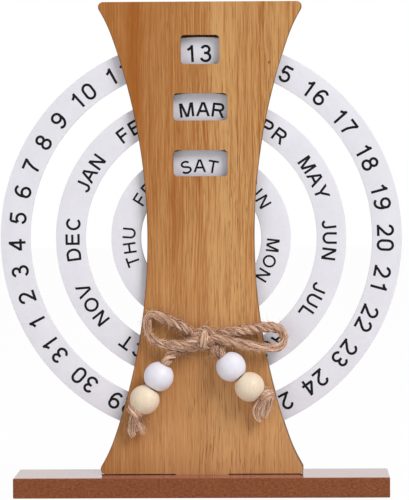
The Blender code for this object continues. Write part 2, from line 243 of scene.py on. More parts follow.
# Soft mottling of a given size in mm: 0.6 of a broad noise and 0.4 of one that is 5.3 times finer.
def makeMottleGroup():
    group, given, out = shaderGroup(
        "softMottle", [("Place", "Vector", (0, 0, 0)), ("Size", "Float", 1.0)], [("Mask", "Float")])
    scale = maths(group, "DIVIDE", 1.0, given["Size"])
    broad = noise(group, given["Place"], scale, 2)
    fine = noise(group, given["Place"], times(group, scale, 5.3), 3)
    mixed = plus(group, times(group, broad, 0.6), times(group, fine, 0.4))
    group.links.new(between(group, mixed, 0.3, 0.7), out["Mask"])
    return group


woodGroup = makeWoodGroup()
mottleGroup = makeMottleGroup()


# The mottle's mask at a place.
def mottled(tree, place, size):
    return placeGroup(tree, mottleGroup, {"Place": place, "Size": size})["Mask"]


board = {
    "dark": linear(152, 87, 30),
    "light": linear(200, 152, 97),
    "pore": linear(104, 56, 24),
    "poreDepth": 0.75,
    "poresAcross": (-30, 15, 0.45, 1.0),    # from X, to X, share there, share there
    "scorch": linear(66, 40, 26),           # laser-cut sides
    "scorchLight": linear(112, 72, 44),
    "scorchGrain": (0.9, 3.0, 0.5),
    "scorchWidth": 0.45,                    # mm that the browning reaches in from a cut side
    "scorchDepth": 0.75,
    # painted light: the boards' lower part is lightened towards this paler tone in place of light, most at
    # the foot and least at the left side
    "paintedLightTone": linear(212, 160, 108),          # the foot of the boards fades to this
    "paintedLightUp": (140, 8, 0, 0.55),            # from Z, to Z, share there, share there
    "paintedLightAcross": (-42, -8, 0.4, 1),
    "calmFoot": (95, 55, 0.55, 1.0),        # streaks at the left side, by height
    "streaksAcross": (-20, 10), "streaksRight": 1.3,
    "streaksUp": (170, 110, 0.85, 1.3),
    "pinKnots": ((27.4, 172.0), (22.2, 124.5)), "knotSquash": 0.55, "knotEdge": (0.5, 0.15, 0, 0.8),
    "roughness": 0.42, "specular": 0.15, "bump": (0.35, 0.05 * mm),
    # the boards' outline, as in the model, in mm
    "sideRadius": 240.0, "halfWaist": 21.3, "flareRadius": 60.0, "flareHeight": 14.0, "halfHeight": 94.0,
}

# Tone across the front board, from its left side to its right: place share, tone share
acrossTones = (
    (0.00, 0.27), (0.13, 0.28), (0.165, 0.13), (0.19, 0.13), (0.225, 0.34), (0.30, 0.40),
    (0.43, 0.40), (0.535, 0.44), (0.56, 0.71), (0.62, 0.78), (0.68, 0.64), (0.72, 0.50),
    (0.76, 0.62), (0.80, 0.44), (0.84, 0.66), (0.92, 0.58), (1.00, 0.66),
)
boardLow, boardHigh = (np.array(corner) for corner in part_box("front_panel"))
boardHalf = (boardHigh[0] - boardLow[0]) / 2 / mm


# How near a point lies to the boards' hollow sides: its distance to the centre of the side's circle, or of
# the flare's near both ends, less that circle's radius.
def scorchMask(tree, split):
    flareFoot = board["halfHeight"] - board["flareHeight"]
    turn = math.asin(flareFoot / board["sideRadius"])
    centre = board["halfWaist"] + board["sideRadius"]
    reach = board["sideRadius"] - board["flareRadius"]
    across = maths(tree, "ABSOLUTE", split["X"])
    height = maths(tree, "ABSOLUTE", minus(tree, split["Z"], ringMiddle[2] / mm))
    point = node(tree, "CombineXYZ", {"X": across, "Z": height}).outputs[0]
    side = minus(tree, distanceTo(tree, point, (centre, 0, 0)), board["sideRadius"])
    flareCentre = (centre - reach * math.cos(turn), 0, reach * math.sin(turn))
    flare = minus(tree, distanceTo(tree, point, flareCentre), board["flareRadius"])
    inFlare = maths(tree, "GREATER_THAN", height, flareFoot)
    return between(tree, mixValue(tree, inFlare, side, flare), board["scorchWidth"], 0.0)


# Oiled pine: colour from dark to light by the tone across the board plus the grain's tone, then painted light
# that makes the foot paler, the pores, two pin knots, the browned rim and the scorched sides.
def makeBoardMaterial():
    material, tree = newMaterial("oiledPine", board["specular"])
    place = placeMm(tree)
    split = node(tree, "SeparateXYZ", {0: place}).outputs
    x, z = split["X"], split["Z"]
    calm = between(tree, z, *board["calmFoot"])
    streaks = times(tree, between(tree, x, *board["streaksAcross"], calm, board["streaksRight"]),
                    between(tree, z, *board["streaksUp"]))
    grain = placeGroup(tree, woodGroup, {"Place": place, "Pores": 1.0, "Streaks": streaks})
    share = node(tree, "MapRange", {"Value": x, "From Min": -boardHalf, "From Max": boardHalf}).outputs[0]
    tone = plus(tree, ramp(tree, share, acrossTones), grain["Tone"])
    colour = mixColour(tree, between(tree, tone, 0.0, 1.0), board["dark"], board["light"])
    # painted light: the colour is paled towards the foot, less at the left side than from the middle
    # rightwards
    paintedLightShare = times(tree, between(tree, z, *board["paintedLightUp"]), between(tree, x, *board["paintedLightAcross"]))
    colour = mixColour(tree, paintedLightShare, colour, board["paintedLightTone"])
    pore = times(tree, grain["Pore"], between(tree, x, *board["poresAcross"]))
    colour = mixColour(tree, times(tree, pore, board["poreDepth"]), colour, board["pore"])
    squash = board["knotSquash"]
    for knotX, knotZ in board["pinKnots"]:
        away = distanceTo(tree, stretched(tree, place, (1, 0, squash)), (knotX, 0, knotZ * squash))
        colour = mixColour(tree, between(tree, away, *board["knotEdge"]), colour, board["scorch"])
    rim = times(tree, scorchMask(tree, split), board["scorchDepth"])
    colour = mixColour(tree, rim, colour, board["scorch"])
    char = noise(tree, stretched(tree, place, board["scorchGrain"]), 1, 3)
    scorch = mixColour(tree, between(tree, char, 0.3, 0.75), board["scorch"], board["scorchLight"])
    cutSide = maths(tree, "LESS_THAN", facing(tree, "Y"), 0.5)
    colour = mixColour(tree, cutSide, colour, scorch)
    rough = between(tree, grain["Height"], 0.2, 0.8, board["roughness"] + 0.1, board["roughness"] - 0.05)
    return dress(material, colour, rough, grain["Height"], *board["bump"])


spacer = {"light": linear(122, 84, 54), "mottle": 1.6, "rough": (0.85, 0.7), "bump": (0.3, 0.05 * mm)}


# Thin fibre board inside the stack, its cut sides browned by the laser: scorch to light by the mottle.
def makeSpacerMaterial():
    material, tree = newMaterial("spacerBoard")
    mottle = mottled(tree, placeMm(tree), spacer["mottle"])
    colour = mixColour(tree, mottle, board["scorch"], spacer["light"])
    return dress(material, colour, between(tree, mottle, 0, 1, *spacer["rough"]), mottle, *spacer["bump"])


base = {
    "film": linear(152, 88, 87), "filmPatch": 0.25,
    "filmRoughness": 0.07, "smear": 0.06,
    "fibreDark": linear(103, 50, 22), "fibreLight": linear(145, 86, 50),
    "fibreRoughness": 0.62, "fibreBump": (0.3, 0.08 * mm),
    "speckStretch": (0.8, 1, 1.2), "speckSize": 1.0, "speckShare": 0.85,
    "patchSize": 7.0, "patchShare": 0.15,
    "specular": 0.22,
}


# Glossy brown film where the surface faces up or down, with a little fibre tone and smears in patches. The
# cut sides are stained fibre board: dark to light by specks and patches, and only they are bumped.
def makeBaseMaterial():
    material, tree = newMaterial("baseBoard", base["specular"])
    place = placeMm(tree)
    top = maths(tree, "GREATER_THAN", facing(tree, "Z"), 0.6)
    speck = mottled(tree, stretched(tree, place, base["speckStretch"]), base["speckSize"])
    patch = mottled(tree, place, base["patchSize"])
    fibre = plus(tree, times(tree, speck, base["speckShare"]), times(tree, patch, base["patchShare"]))
    side = mixColour(tree, fibre, base["fibreDark"], base["fibreLight"])
    film = mixColour(tree, times(tree, patch, base["filmPatch"]), base["film"], base["fibreLight"])
    filmRough = plus(tree, times(tree, patch, base["smear"]), base["filmRoughness"])
    rough = mixValue(tree, top, base["fibreRoughness"], filmRough)
    height = times(tree, fibre, minus(tree, 1.0, top))
    return dress(material, mixColour(tree, top, side, film), rough, height, *base["fibreBump"])


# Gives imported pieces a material. Their shapes stay as they are.
def finish(names, material):
    for name in names:
        part = frame["nodes"][name]
        part.data.materials.clear()
        part.data.materials.append(material)


finish(["front_panel", "back_panel"], makeBoardMaterial())
finish([name for name in frame["nodes"] if "guide" in name or "spacer" in name], makeSpacerMaterial())
finish(["base_board"], makeBaseMaterial())
print("boards and base finished")


# Puts a mesh of points and faces in the scene, riding on a body.
def meshPiece(name, points, faces, material, body, smooth=True):
    mesh = bpy.data.meshes.new(name)
    mesh.from_pydata(points.reshape(-1, 3).tolist(), [], faces)
    mesh.validate()
    if smooth:
        mesh.shade_smooth()
        mesh.set_sharp_from_angle(angle=math.radians(50))
    mesh.materials.append(material)
    piece = bpy.data.objects.new(name, mesh)
    bpy.context.scene.collection.objects.link(piece)
    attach(piece, body)
    return piece


# Quads over a grid of points, row by row. Each row is a closed ring, and the rows close too where asked.
def gridFaces(rows, columns, wrapRows=False):
    row = np.arange(rows if wrapRows else rows - 1)
    a, b = (grid.ravel() for grid in np.meshgrid(row, np.arange(columns), indexing="ij"))
    c, d = (a + 1) % rows, (b + 1) % columns
    return np.stack([a * columns + b, a * columns + d, c * columns + d, c * columns + b], 1)


# A closed profile (radius, along) turned about Z: (radius cos turn, radius sin turn, along).
def revolve(profile, steps):
    radius, along = np.array(profile).T
    turn = np.linspace(0, 2 * math.pi, steps, endpoint=False)[:, None]
    axes = np.broadcast_arrays(radius * np.cos(turn), radius * np.sin(turn), along + 0 * turn)
    return np.stack(axes, 2), gridFaces(steps, len(profile), True).tolist()


ring = {
    "paint": linear(226, 224, 231), "paintDark": linear(221, 219, 226), "mottle": 9.0,
    "rough": (0.5, 0.42), "bump": (0.06, 0.02 * mm), "specular": 0.4,
    "ink": linear(7, 7, 9), "inkLight": linear(20, 20, 23), "inkRough": (0.45, 0.6), "inkSpecular": 0.15,
    "width": 11.8 * mm,
    "edgeRound": 0.18 * mm, "edgeSteps": 5,
    "steps": 360,
    "inkThickness": 0.04 * mm,
}


# A rectangle from radius inner to outer and height -half to half, its corners rounded, anticlockwise.
def roundedBand(inner, outer, half):
    bend = ring["edgeRound"]
    corners = []
    for x, y, start in ((outer - bend, half - bend, 0), (inner + bend, half - bend, 90),
                        (inner + bend, -half + bend, 180), (outer - bend, -half + bend, 270)):
        turn = np.radians(np.linspace(start, start + 90, ring["edgeSteps"]))
        corners.append(np.stack([x + bend * np.cos(turn), y + bend * np.sin(turn)], 1))
    return np.concatenate(corners)


# White paint on a smooth board: a faint mottle in the colour and the sheen, and a fine bump.
def makeRingMaterial():
    material, tree = newMaterial("ringWhite", ring["specular"])
    place = placeMm(tree)
    mottle = mottled(tree, place, ring["mottle"])
    tint = mixColour(tree, mottle, ring["paintDark"], ring["paint"])
    return dress(material, tint, between(tree, mottle, 0, 1, *ring["rough"]), noise(tree, place, 6.0, 2),
                 *ring["bump"])


# Printing ink, black with a faint grain.
def makeInkMaterial():
    material, tree = newMaterial("blackInk", ring["inkSpecular"])
    grain = noise(tree, placeMm(tree), 9.0, 2)
    return dress(material, mixColour(tree, grain, ring["ink"], ring["inkLight"]),
                 between(tree, grain, 0.3, 0.7, *ring["inkRough"]))


ringWhite, blackInk = makeRingMaterial(), makeInkMaterial()

# Letters drawn as strokes of one weight, in shares of the capital height. A stroke runs through points
# (x, y) and arcs (x, y, width radius, height radius, start, end in degrees); a slant has level ends.
weightShare = 0.15         # of the numbers; the words are a little bolder
low, high = weightShare / 2, 1 - weightShare / 2
bowl = (0, 0.31, 0.265, 0.25)
strokes = {
    "0": [[(0.265, 0.34), (0, 0.66, 0.265, 0.28, 0, 180), (-0.265, 0.34)],
          [(-0.265, 0.66), (0, 0.34, 0.265, 0.28, 180, 360), (0.265, 0.66)]],
    "1": [[(0.085, 0), (0.085, 1)], [(0.085, 0.93), (-0.02, 0.81), (-0.185, 0.725)]],
    "2": [[(-0.005, 0.685, 0.262, 0.255, 172, -22), (0.13, 0.44), (-0.07, 0.26), (-0.25, 0.06)],
          [(-0.335, low), (0.325, low)]],
    "3": [[(-0.01, 0.735, 0.225, 0.205, 165, -90)], [(0, 0.295, 0.268, 0.235, 90, -165)],
          [(-0.10, 0.53), (0.01, 0.53)]],
    "4": [[(0.13, 0), (0.13, 1)], [(-0.345, 0.30), (0.34, 0.30)], [(0.115, 0.95), (-0.30, 0.315)]],
    "5": [[(-0.195, high), (0.285, high)], [(-0.19, 0.93), (-0.25, 0.52)],
          [(-0.25, 0.50), (-0.005, 0.325, 0.268, 0.265, 135, -165)]],
    "6": [[(*bowl, 0, 180)], [(*bowl, 180, 360)], [(0.055, 0.50, 0.32, 0.44, 50, 205)]],
    "7": [[(-0.315, high), (0.315, high)], [(0.275, 0.93), (0.10, 0.68), (-0.03, 0.38), (-0.09, 0)]],
    "8": [[(0, 0.735, 0.222, 0.205, 0, 180)], [(0, 0.735, 0.222, 0.205, 180, 360)],
          [(0, 0.295, 0.268, 0.235, 0, 180)], [(0, 0.295, 0.268, 0.235, 180, 360)]],
    "A": ["slant", (-0.405, 0, -0.035, 1), (0.405, 0, 0.035, 1), [(-0.27, 0.36), (0.27, 0.36)]],
    "B": [[(-0.317, 0), (-0.317, 1)],
          [(-0.3, high), (0.03, 0.735, 0.235, 0.204, 90, -90), (-0.3, 0.531)],
          [(-0.3, 0.531), (0.055, 0.296, 0.262, 0.235, 90, -90), (-0.3, low)]],
    "C": [[(0.02, 0.5, 0.385, 0.44, 40, 320)]],
    "D": [[(-0.355, 0), (-0.355, 1)], [(-0.34, high), (-0.02, 0.5, 0.375, 0.439, 90, -90), (-0.34, low)]],
    "E": [[(-0.314, 0), (-0.314, 1)], [(-0.3, high), (0.36, high)], [(-0.3, 0.52), (0.33, 0.52)],
          [(-0.3, low), (0.374, low)]],
    "F": [[(-0.28, 0), (-0.28, 1)], [(-0.26, high), (0.34, high)], [(-0.26, 0.50), (0.27, 0.50)]],
    "G": [[(0, 0.5, 0.40, 0.44, 40, 312), (0.36, 0.16), (0.36, 0.49)], [(0.05, 0.46), (0.42, 0.46)]],
    "H": [[(-0.332, 0), (-0.332, 1)], [(0.332, 0), (0.332, 1)], [(-0.3, 0.53), (0.3, 0.53)]],
    "I": [[(0, 0), (0, 1)]],
    "J": [[(0.21, 1), (-0.02, 0.28, 0.23, 0.22, 0, -165)]],
    "L": [[(-0.25, 0), (-0.25, 1)], [(-0.23, low), (0.32, low)]],
    "M": ["slant", (-0.36, 1, -0.02, 0), (0.36, 1, 0.02, 0), [(-0.417, 0), (-0.417, 1)],
          [(0.417, 0), (0.417, 1)]],
    "N": ["slant", (-0.325, 1, 0.325, 0), [(-0.334, 0), (-0.334, 1)], [(0.334, 0), (0.334, 1)]],
    "O": [[(0, 0.5, 0.416, 0.44, 0, 180)], [(0, 0.5, 0.416, 0.44, 180, 360)]],
    "P": [[(-0.323, 0), (-0.323, 1)], [(-0.3, high), (0.08, 0.70, 0.24, 0.239, 90, -90), (-0.3, 0.461)]],
    "R": ["slant", (0.09, 0.48, 0.375, 0), [(-0.36, 0), (-0.36, 1)],
          [(-0.34, high), (0.08, 0.72, 0.235, 0.219, 90, -90), (-0.34, 0.501)]],
    "S": [[(0, 0.735, 0.29, 0.204, 22, 245), (0, 0.285, 0.335, 0.224, 65, -158)]],
    "T": [[(-0.396, high), (0.396, high)], [(0, 0), (0, 0.95)]],
    "U": [[(-0.333, 1), (0, 0.385, 0.333, 0.324, 180, 360), (0.333, 1)]],
    "V": ["slant", (-0.39, 1, -0.03, 0), (0.39, 1, 0.03, 0)],
    "W": ["slant", (-0.59, 1, -0.325, 0), (-0.035, 1, -0.29, 0), (0.035, 1, 0.29, 0), (0.59, 1, 0.325, 0)],
    "Y": ["slant", (-0.39, 1, -0.02, 0.42), (0.39, 1, 0.02, 0.42), [(0, 0), (0, 0.46)]],
}
advanceShare = {"A": 0.93, "B": 0.93, "C": 1.01, "D": 1.01, "E": 0.93, "F": 0.85, "G": 1.09, "H": 1.01,
                "I": 0.39, "J": 0.70, "L": 0.78, "M": 1.16, "N": 1.01, "O": 1.09, "P": 0.93, "R": 1.01,
                "S": 0.93, "T": 0.85, "U": 1.01, "V": 0.93, "W": 1.32, "Y": 0.93}


# Points and arcs, in order, as one line of points: (x + wide cos t, y + tall sin t) along an arc.
def strokeLine(parts):
    pieces = []
    for part in parts:
        if len(part) == 2:
            pieces.append(np.array([part], float))
        else:
            x, y, wide, tall, start, end = part
            turn = np.radians(np.linspace(start, end, 2 + int(abs(end - start) / 9)))
            pieces.append(np.stack([x + wide * np.cos(turn), y + tall * np.sin(turn)], 1))
    return np.concatenate(pieces)


# The outline of a stroke: the line moved half a weight to each side, mitred at its corners.
def ribbon(line, weight):
    step = np.diff(line, axis=0)
    step = step / np.linalg.norm(step, axis=1, keepdims=True)
    before, after = np.vstack([step[:1], step]), np.vstack([step, step[-1:]])
    along = before + after
    along = along / np.linalg.norm(along, axis=1, keepdims=True)
    side = np.stack([-along[:, 1], along[:, 0]], 1)
    grow = 1 / np.clip((along * after).sum(1, keepdims=True), 0.4, 1)
    side = side * grow * weight / 2
    return np.vstack([line - side, (line + side)[::-1]])


# A slanting stroke with level ends, which are weight times length over height wide.
def slantOutline(x0, y0, x1, y1, weight):
    level = weight / 2 * math.hypot(x1 - x0, y1 - y0) / (y1 - y0)
    return np.array([(x0 - level, y0), (x0 + level, y0), (x1 + level, y1), (x1 - level, y1)])


# A letter as one flat net of triangles: the union of its strokes' outlines. A nine is a six turned round.
def glyph(letter, weight):
    if letter == "9":
        points, triangles = glyph("6", weight)
        return points * (-1, -1) + (0, 1), triangles
    outlines = [slantOutline(*part, weight) if isinstance(part, tuple) else ribbon(strokeLine(part), weight)
                for part in strokes[letter] if part != "slant"]
    counts = np.cumsum([0] + [len(outline) for outline in outlines])
    faces = [list(range(start, end)) for start, end in zip(counts, counts[1:])]
    corners = [Vector(point) for outline in outlines for point in outline.tolist()]
    points, _, triangles, _, _, owners = delaunay_2d_cdt(corners, [], faces, 1, 1e-5)
    inked = [triangle for triangle, owner in zip(triangles, owners) if owner]  # a counter has no owner
    return np.array([tuple(point) for point in points]), np.array(inked)


# A flat net given a thickness: (x, y, 0) below, (x, y, thickness) on top and a wall along every edge that
# only one triangle has. Its points are counted from first.
def inkSolid(points, triangles, thickness, first):
    count = len(points)
    edges = np.concatenate([triangles[:, (0, 1)], triangles[:, (1, 2)], triangles[:, (2, 0)]])
    keys = edges[:, 0] * count + edges[:, 1]
    rim = edges[~np.isin(keys, edges[:, 1] * count + edges[:, 0])]
    below = np.column_stack([points, np.zeros(count)])
    above = np.column_stack([points, np.full(count, thickness)])
    walls = np.column_stack([rim[:, 0], rim[:, 1], rim[:, 1] + count, rim[:, 0] + count])
    faces = (triangles[:, ::-1], triangles + count, walls)
    return np.vstack([below, above]), [corners for part in faces for corners in (part + first).tolist()]


# The turn of each letter from the word's middle, in radians, clockwise positive: its width along the arc
# over the radius.
def wordLayout(word, capital, radius, tracking):
    widths = np.array([advanceShare.get(letter, 0.777) + tracking for letter in word]) * capital
    middles = np.cumsum(widths) - widths / 2
    return (middles - widths.sum() / 2) / radius


# "words" gives each word's middle in degrees clockwise from the top; "bolder" is a share of weightShare.
dateRing = {"node": "date_ring", "print": "date_numbers", "capital": 6.75 * mm, "baseline": 70.1 * mm,
            "bolder": 1, "digitStep": 4.62, "gapStep": 8.35, "thirteenAt": -0.6,
            "early": {"29": 1.1, "30": 0.3}}   # degrees that a number stands before its even place
monthRing = {"node": "month_ring", "print": "month_names", "capital": 5.6 * mm, "baseline": 48.5 * mm,
             "bolder": 1.12, "tracking": 0.125,
             "words": {"JAN": -59.4, "FEB": -30.3, "MAR": 0.7, "APR": 31.3, "MAY": 62.2, "JUN": 91.3,
                       "JUL": 119.5, "AUG": 149.8, "SEP": 180, "OCT": -151.5, "NOV": -121.4, "DEC": -90.4}}
weekdayRing = {"node": "weekday_ring", "print": "weekday_names", "capital": 5.1 * mm,
               "baseline": 26.2 * mm, "bolder": 1.04, "tracking": 0.15,
               "words": {"SUN": 48.8, "MON": 108.4, "TUE": 160, "WED": -149.5, "THU": -97, "FRI": -48.8,
                         "SAT": -1.2}}


# The ring's board: a rounded band turned about the calendar's axis. Gives the place of its front face.
def ringBoard(which):
    lowest, highest = (np.array(corner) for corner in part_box(which["node"]))
    outer, half = (highest[0] - lowest[0]) / 2, (highest[1] - lowest[1]) / 2
    points, faces = revolve(roundedBand(outer - ring["width"], outer, half), ring["steps"])
    placed = np.stack([points[..., 0], -points[..., 2], points[..., 1]], 2) + ringMiddle
    piece = meshPiece(which["node"] + "_board", placed, faces, ringWhite, which["node"])
    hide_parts(which["node"])
    return -half


# Stands each (letter, turn) on the ring's face: (x cos t + out sin t, -x sin t + out cos t), where out is
# the baseline plus the height in the letter.
def printRing(which, letters, face):
    allPoints, allFaces, count = [], [], 0
    for letter, turn in letters:
        points, triangles = glyph(letter, weightShare * which["bolder"])
        solid, faces = inkSolid(points * which["capital"], triangles, ring["inkThickness"], count)
        x, out = solid[:, 0], which["baseline"] + solid[:, 1]
        placed = np.column_stack([x * math.cos(turn) + out * math.sin(turn), face - solid[:, 2],
                                  -x * math.sin(turn) + out * math.cos(turn)])
        allPoints.append(placed + (ringMiddle[0], 0, ringMiddle[2]))
        allFaces += faces
        count += len(solid)
    meshPiece(which["print"], np.vstack(allPoints), allFaces, blackInk, which["node"],
              smooth=False)


# Numbers 1 to 31 run clockwise as one text: even steps between digits, a wider one between numbers, all
# turned back until 13 stands at the top.
def dateLetters():
    turn, letters, thirteen = 0.0, [], 0.0
    for number in range(1, 32):
        digits = str(number)
        turn += dateRing["gapStep"] if number > 1 else 0
        if digits == "13":
            thirteen = turn + dateRing["digitStep"] / 2
        for index, digit in enumerate(digits):
            turn += dateRing["digitStep"] if index else 0
            letters.append((digit, turn - dateRing["early"].get(digits, 0)))
    return [(digit, math.radians(place - thirteen + dateRing["thirteenAt"])) for digit, place in letters]


# The letters of every word, laid out round its middle.
def wordLetters(which):
    radius = which["baseline"] + which["capital"] / 2
    return [pair for word, middle in which["words"].items()
            for pair in zip(word, math.radians(middle)
                            + wordLayout(word, which["capital"], radius, which["tracking"]))]


for which in (dateRing, monthRing, weekdayRing):
    printRing(which, wordLetters(which) if "words" in which else dateLetters(), ringBoard(which))
print("rings printed")


twine = {
    "diameter": 3.2 * mm,
    "pitch": 9.5 * mm,          # one turn of the three plies
    "step": 0.28 * mm,          # between rings of points along a ply
    "around": 12,               # points round a ply
    "ripple": 0.06,             # share of a ply's radius that its surface is fluted by
    "light": linear(243, 212, 186), "mid": linear(193, 148, 120), "dark": linear(108, 70, 48),
    "rough": (0.95, 0.8), "bump": (0.9, 0.2 * mm), "specular": 0.2,
    "fibreRough": (0.85, 0.6), "fibreSpecular": 0.25,
    "fibresPerMm": 8, "fibreSteps": (16, 46), "fibreThick": (0.06, 0.15), "fibreLift": 0.75,
    "hairThick": 0.065 * mm, "hairCurl": 0.9, "hairTones": (0.45, 1.1), "fuzz": 2.6 * mm,
}
twineRadius = twine["diameter"] / 2
plyRadius = twineRadius / (1 + 2 / math.sqrt(3))
plyOffset = twineRadius - plyRadius
fibreReference = (0.31, 0.9, 0.3)   # a direction that no fibre runs along
random = np.random.default_rng(7)


# The plies under the fibres: streaks along each ply, from its UV map, read as a seamless tube:
# (cos turn, sin turn, half the length).
def makeTwineMaterial():
    material, tree = newMaterial("jute", twine["specular"])
    uv = node(tree, "SeparateXYZ", {0: node(tree, "TexCoord").outputs["UV"]}).outputs
    turn = times(tree, uv["X"], 2 * math.pi)
    tube = node(tree, "CombineXYZ", {"X": maths(tree, "COSINE", turn), "Y": maths(tree, "SINE", turn),
                                     "Z": times(tree, uv["Y"], 0.5)}).outputs[0]
    fibres = noise(tree, stretched(tree, tube, (3.5, 3.5, 1)), 1, 3, 0.6)
    colour = ramp(tree, fibres, ((0.33, twine["dark"]), (0.5, twine["mid"]), (0.68, twine["light"])))
    return dress(material, colour, between(tree, fibres, 0.3, 0.7, *twine["rough"]), fibres, *twine["bump"])


# Single fibres: 0.65 of a tone of their own, kept in the UV map, and 0.35 of slow changes along them.
def makeFibreMaterial():
    material, tree = newMaterial("juteFibre", twine["fibreSpecular"])
    own = node(tree, "SeparateXYZ", {0: node(tree, "TexCoord").outputs["UV"]}).outputs["Y"]
    tone = plus(tree, times(tree, own, 0.65), times(tree, noise(tree, placeMm(tree), 0.9, 2), 0.35))
    colour = ramp(tree, tone, ((0.2, twine["dark"]), (0.47, twine["mid"]), (0.76, twine["light"])))
    return dress(material, colour, between(tree, own, 0, 1, *twine["fibreRough"]))


jute, juteFibre = makeTwineMaterial(), makeFibreMaterial()


# A smooth curve through the route's points (Catmull-Rom), read evenly along its length.
def smoothRoute(points):
    points = np.array([tuple(point) for point in points])
    padded = np.vstack([2 * points[0] - points[1], points, 2 * points[-1] - points[-2]])
    a, b, c, d = padded[:-3, None], padded[1:-2, None], padded[2:-1, None], padded[3:, None]
    t = np.linspace(0, 1, 24, endpoint=False)[None, :, None]
    curve = 0.5 * (2 * b + (c - a) * t + (2 * a - 5 * b + 4 * c - d) * t**2 + (3 * b - a - 3 * c + d) * t**3)
    curve = np.vstack([curve.reshape(-1, 3), points[-1]])
    far = np.concatenate([[0], np.cumsum(np.linalg.norm(np.diff(curve, axis=0), axis=1))])
    count = max(8, int(far[-1] / twine["step"]))
    even = np.linspace(0, far[-1], count)
    return np.stack([np.interp(even, far, curve[:, axis]) for axis in range(3)], 1), even


# Vectors over their lengths.
def unit(vectors):
    return vectors / np.linalg.norm(vectors, axis=-1, keepdims=True)


# At each point of a line, or of many lines: two directions square to it and to each other.
def crossFrame(line, reference):
    along = unit(np.gradient(line, axis=-2))
    side = unit(np.cross(along, reference))
    return side, np.cross(along, side)


# Rings of points round each line (count, rows, 3): line + reach (cos turn side + sin turn up), where the
# reach is the radius (count, rows), rippled five times round if asked.
def tubes(lines, radius, reference, around, ripple, twist):
    side, up = crossFrame(lines, reference)
    turn = np.linspace(0, 2 * math.pi, around, endpoint=False)
    reach = radius[..., None] * (1 + ripple * np.cos(5 * turn + np.asarray(twist)[..., None]))
    return lines[..., None, :] + reach[..., None] * (np.cos(turn)[:, None] * side[..., None, :]
                                                     + np.sin(turn)[:, None] * up[..., None, :])


# Quads round every tube and a flat end on each.
def tubeFaces(count, rows, around):
    shift = np.arange(count)[:, None, None] * rows * around
    first = np.arange(around)
    ends = np.stack([first[::-1], first + (rows - 1) * around])
    return [*(gridFaces(rows, around) + shift).reshape(-1, 4).tolist(),
            *(ends + shift).reshape(-1, around).tolist()]


# Tubes as one piece on the stand. Its UV map is (turn, fibre), with the fibre value given per row.
def layTubes(name, lines, radius, reference, around, material, fibre, ripple=0.0, twist=0.0):
    points = tubes(lines, radius, reference, around, ripple, twist)
    count, rows = points.shape[:2]
    piece = meshPiece(name, points, tubeFaces(count, rows, around), material, "stand", around > 5)
    turn = np.broadcast_to(np.arange(around) / around, points.shape[:3])
    along = np.broadcast_to(np.asarray(fibre)[..., None], points.shape[:3])
    uv = np.stack([turn, along], 3).reshape(-1, 2).astype(np.float32)
    corners = np.empty(len(piece.data.loops), int)
    piece.data.loops.foreach_get("vertex_index", corners)
    piece.data.uv_layers.new(name="fibre").data.foreach_set("uv", uv[corners].ravel())
    return piece


# The plies' centre lines, route + offset (cos w side + sin w up), and their radii. The angle w grows with
# the length, slower where the twine is less laid. Sizes and laid are shares of the usual, read evenly
# along the route.
def plyLines(route, reference, sizes, loosen, phase, laid):
    line, far = smoothRoute(route)
    side, up = crossFrame(line, np.array(reference))
    size = np.interp(far / far[-1], np.linspace(0, 1, len(sizes)), sizes)
    slack = np.interp(far, np.linspace(0, far[-1], 11), random.uniform(0, loosen, 11))
    rate = np.interp(far / far[-1], np.linspace(0, 1, len(laid)), laid)
    turn = np.cumsum(rate) * twine["step"] * 2 * math.pi / twine["pitch"] + phase
    ply = np.arange(3)[:, None]
    angle = (turn + 2 * math.pi * ply / 3)[..., None]
    offset = (plyOffset * size * (1 + slack))[:, None]
    centres = line + offset * (np.cos(angle) * side + np.sin(angle) * up)
    lumps = 0.06 * np.sin(far / (1.9 * mm) + ply * 2.1) + 0.05 * np.sin(far / (0.83 * mm) + ply * 4.7)
    return line, far, centres, plyRadius * size * (1 + 0.4 * slack + lumps), angle[..., 0]


# Fibres lying along the plies: centre + reach (cos turn side + sin turn up), where the turn drifts along
# the fibre, and the reach is the ply's radius and a lift that is 0 at both ends.
def coat(name, centres, radius, reference, amount, tones):
    bends = 12
    rows = centres.shape[1]
    steps = np.minimum(random.integers(*twine["fibreSteps"], amount), rows - 2)
    start = (random.uniform(0, 1, amount) * (rows - 1 - steps)).astype(int)
    t = np.linspace(0, 1, bends)
    index = (start[:, None] + steps[:, None] * t).astype(int)
    ply = random.integers(0, 3, amount)[:, None]
    side, up = crossFrame(centres, np.array(reference))
    turn = random.uniform(0, 2 * math.pi, (amount, 1)) - random.uniform(-0.6, 2.4, (amount, 1)) * t
    lift = random.uniform(0, twine["fibreLift"], (amount, 1)) ** 2 * np.sin(math.pi * t) ** 2
    reach = (radius[ply, index] * (0.96 + lift))[..., None]
    lines = centres[ply, index] + reach * (np.cos(turn)[..., None] * side[ply, index]
                                           + np.sin(turn)[..., None] * up[ply, index])
    taper = 0.35 + 0.65 * np.sin(math.pi * (0.08 + 0.84 * t))
    thick = random.uniform(*twine["fibreThick"], (amount, 1)) * mm * taper
    tone = np.broadcast_to(random.uniform(*tones, (amount, 1)), thick.shape)
    return layTubes(name, lines, thick, fibreReference, 5, juteFibre, tone)


# Three plies wound round one smooth route, and a coat of fibres, so many to the millimetre.
def layTwine(name, route, reference=(0, 1, 0), sizes=(1,), loosen=0.25, phase=0.0, laid=(1,),
             fibres=twine["fibresPerMm"], tones=(0, 1)):
    line, far, centres, radius, angle = plyLines(route, reference, sizes, loosen, phase, laid)
    fibre = far / mm / 4 + np.arange(3)[:, None] * 7.3
    piece = layTubes(name, centres, radius, np.array(reference), twine["around"], jute, fibre,
                     twine["ripple"], angle * 2)
    coated = coat(name + "_fibres", centres, radius, reference, int(fibres * far[-1] / mm), tones)
    return piece, line, far[-1], coated


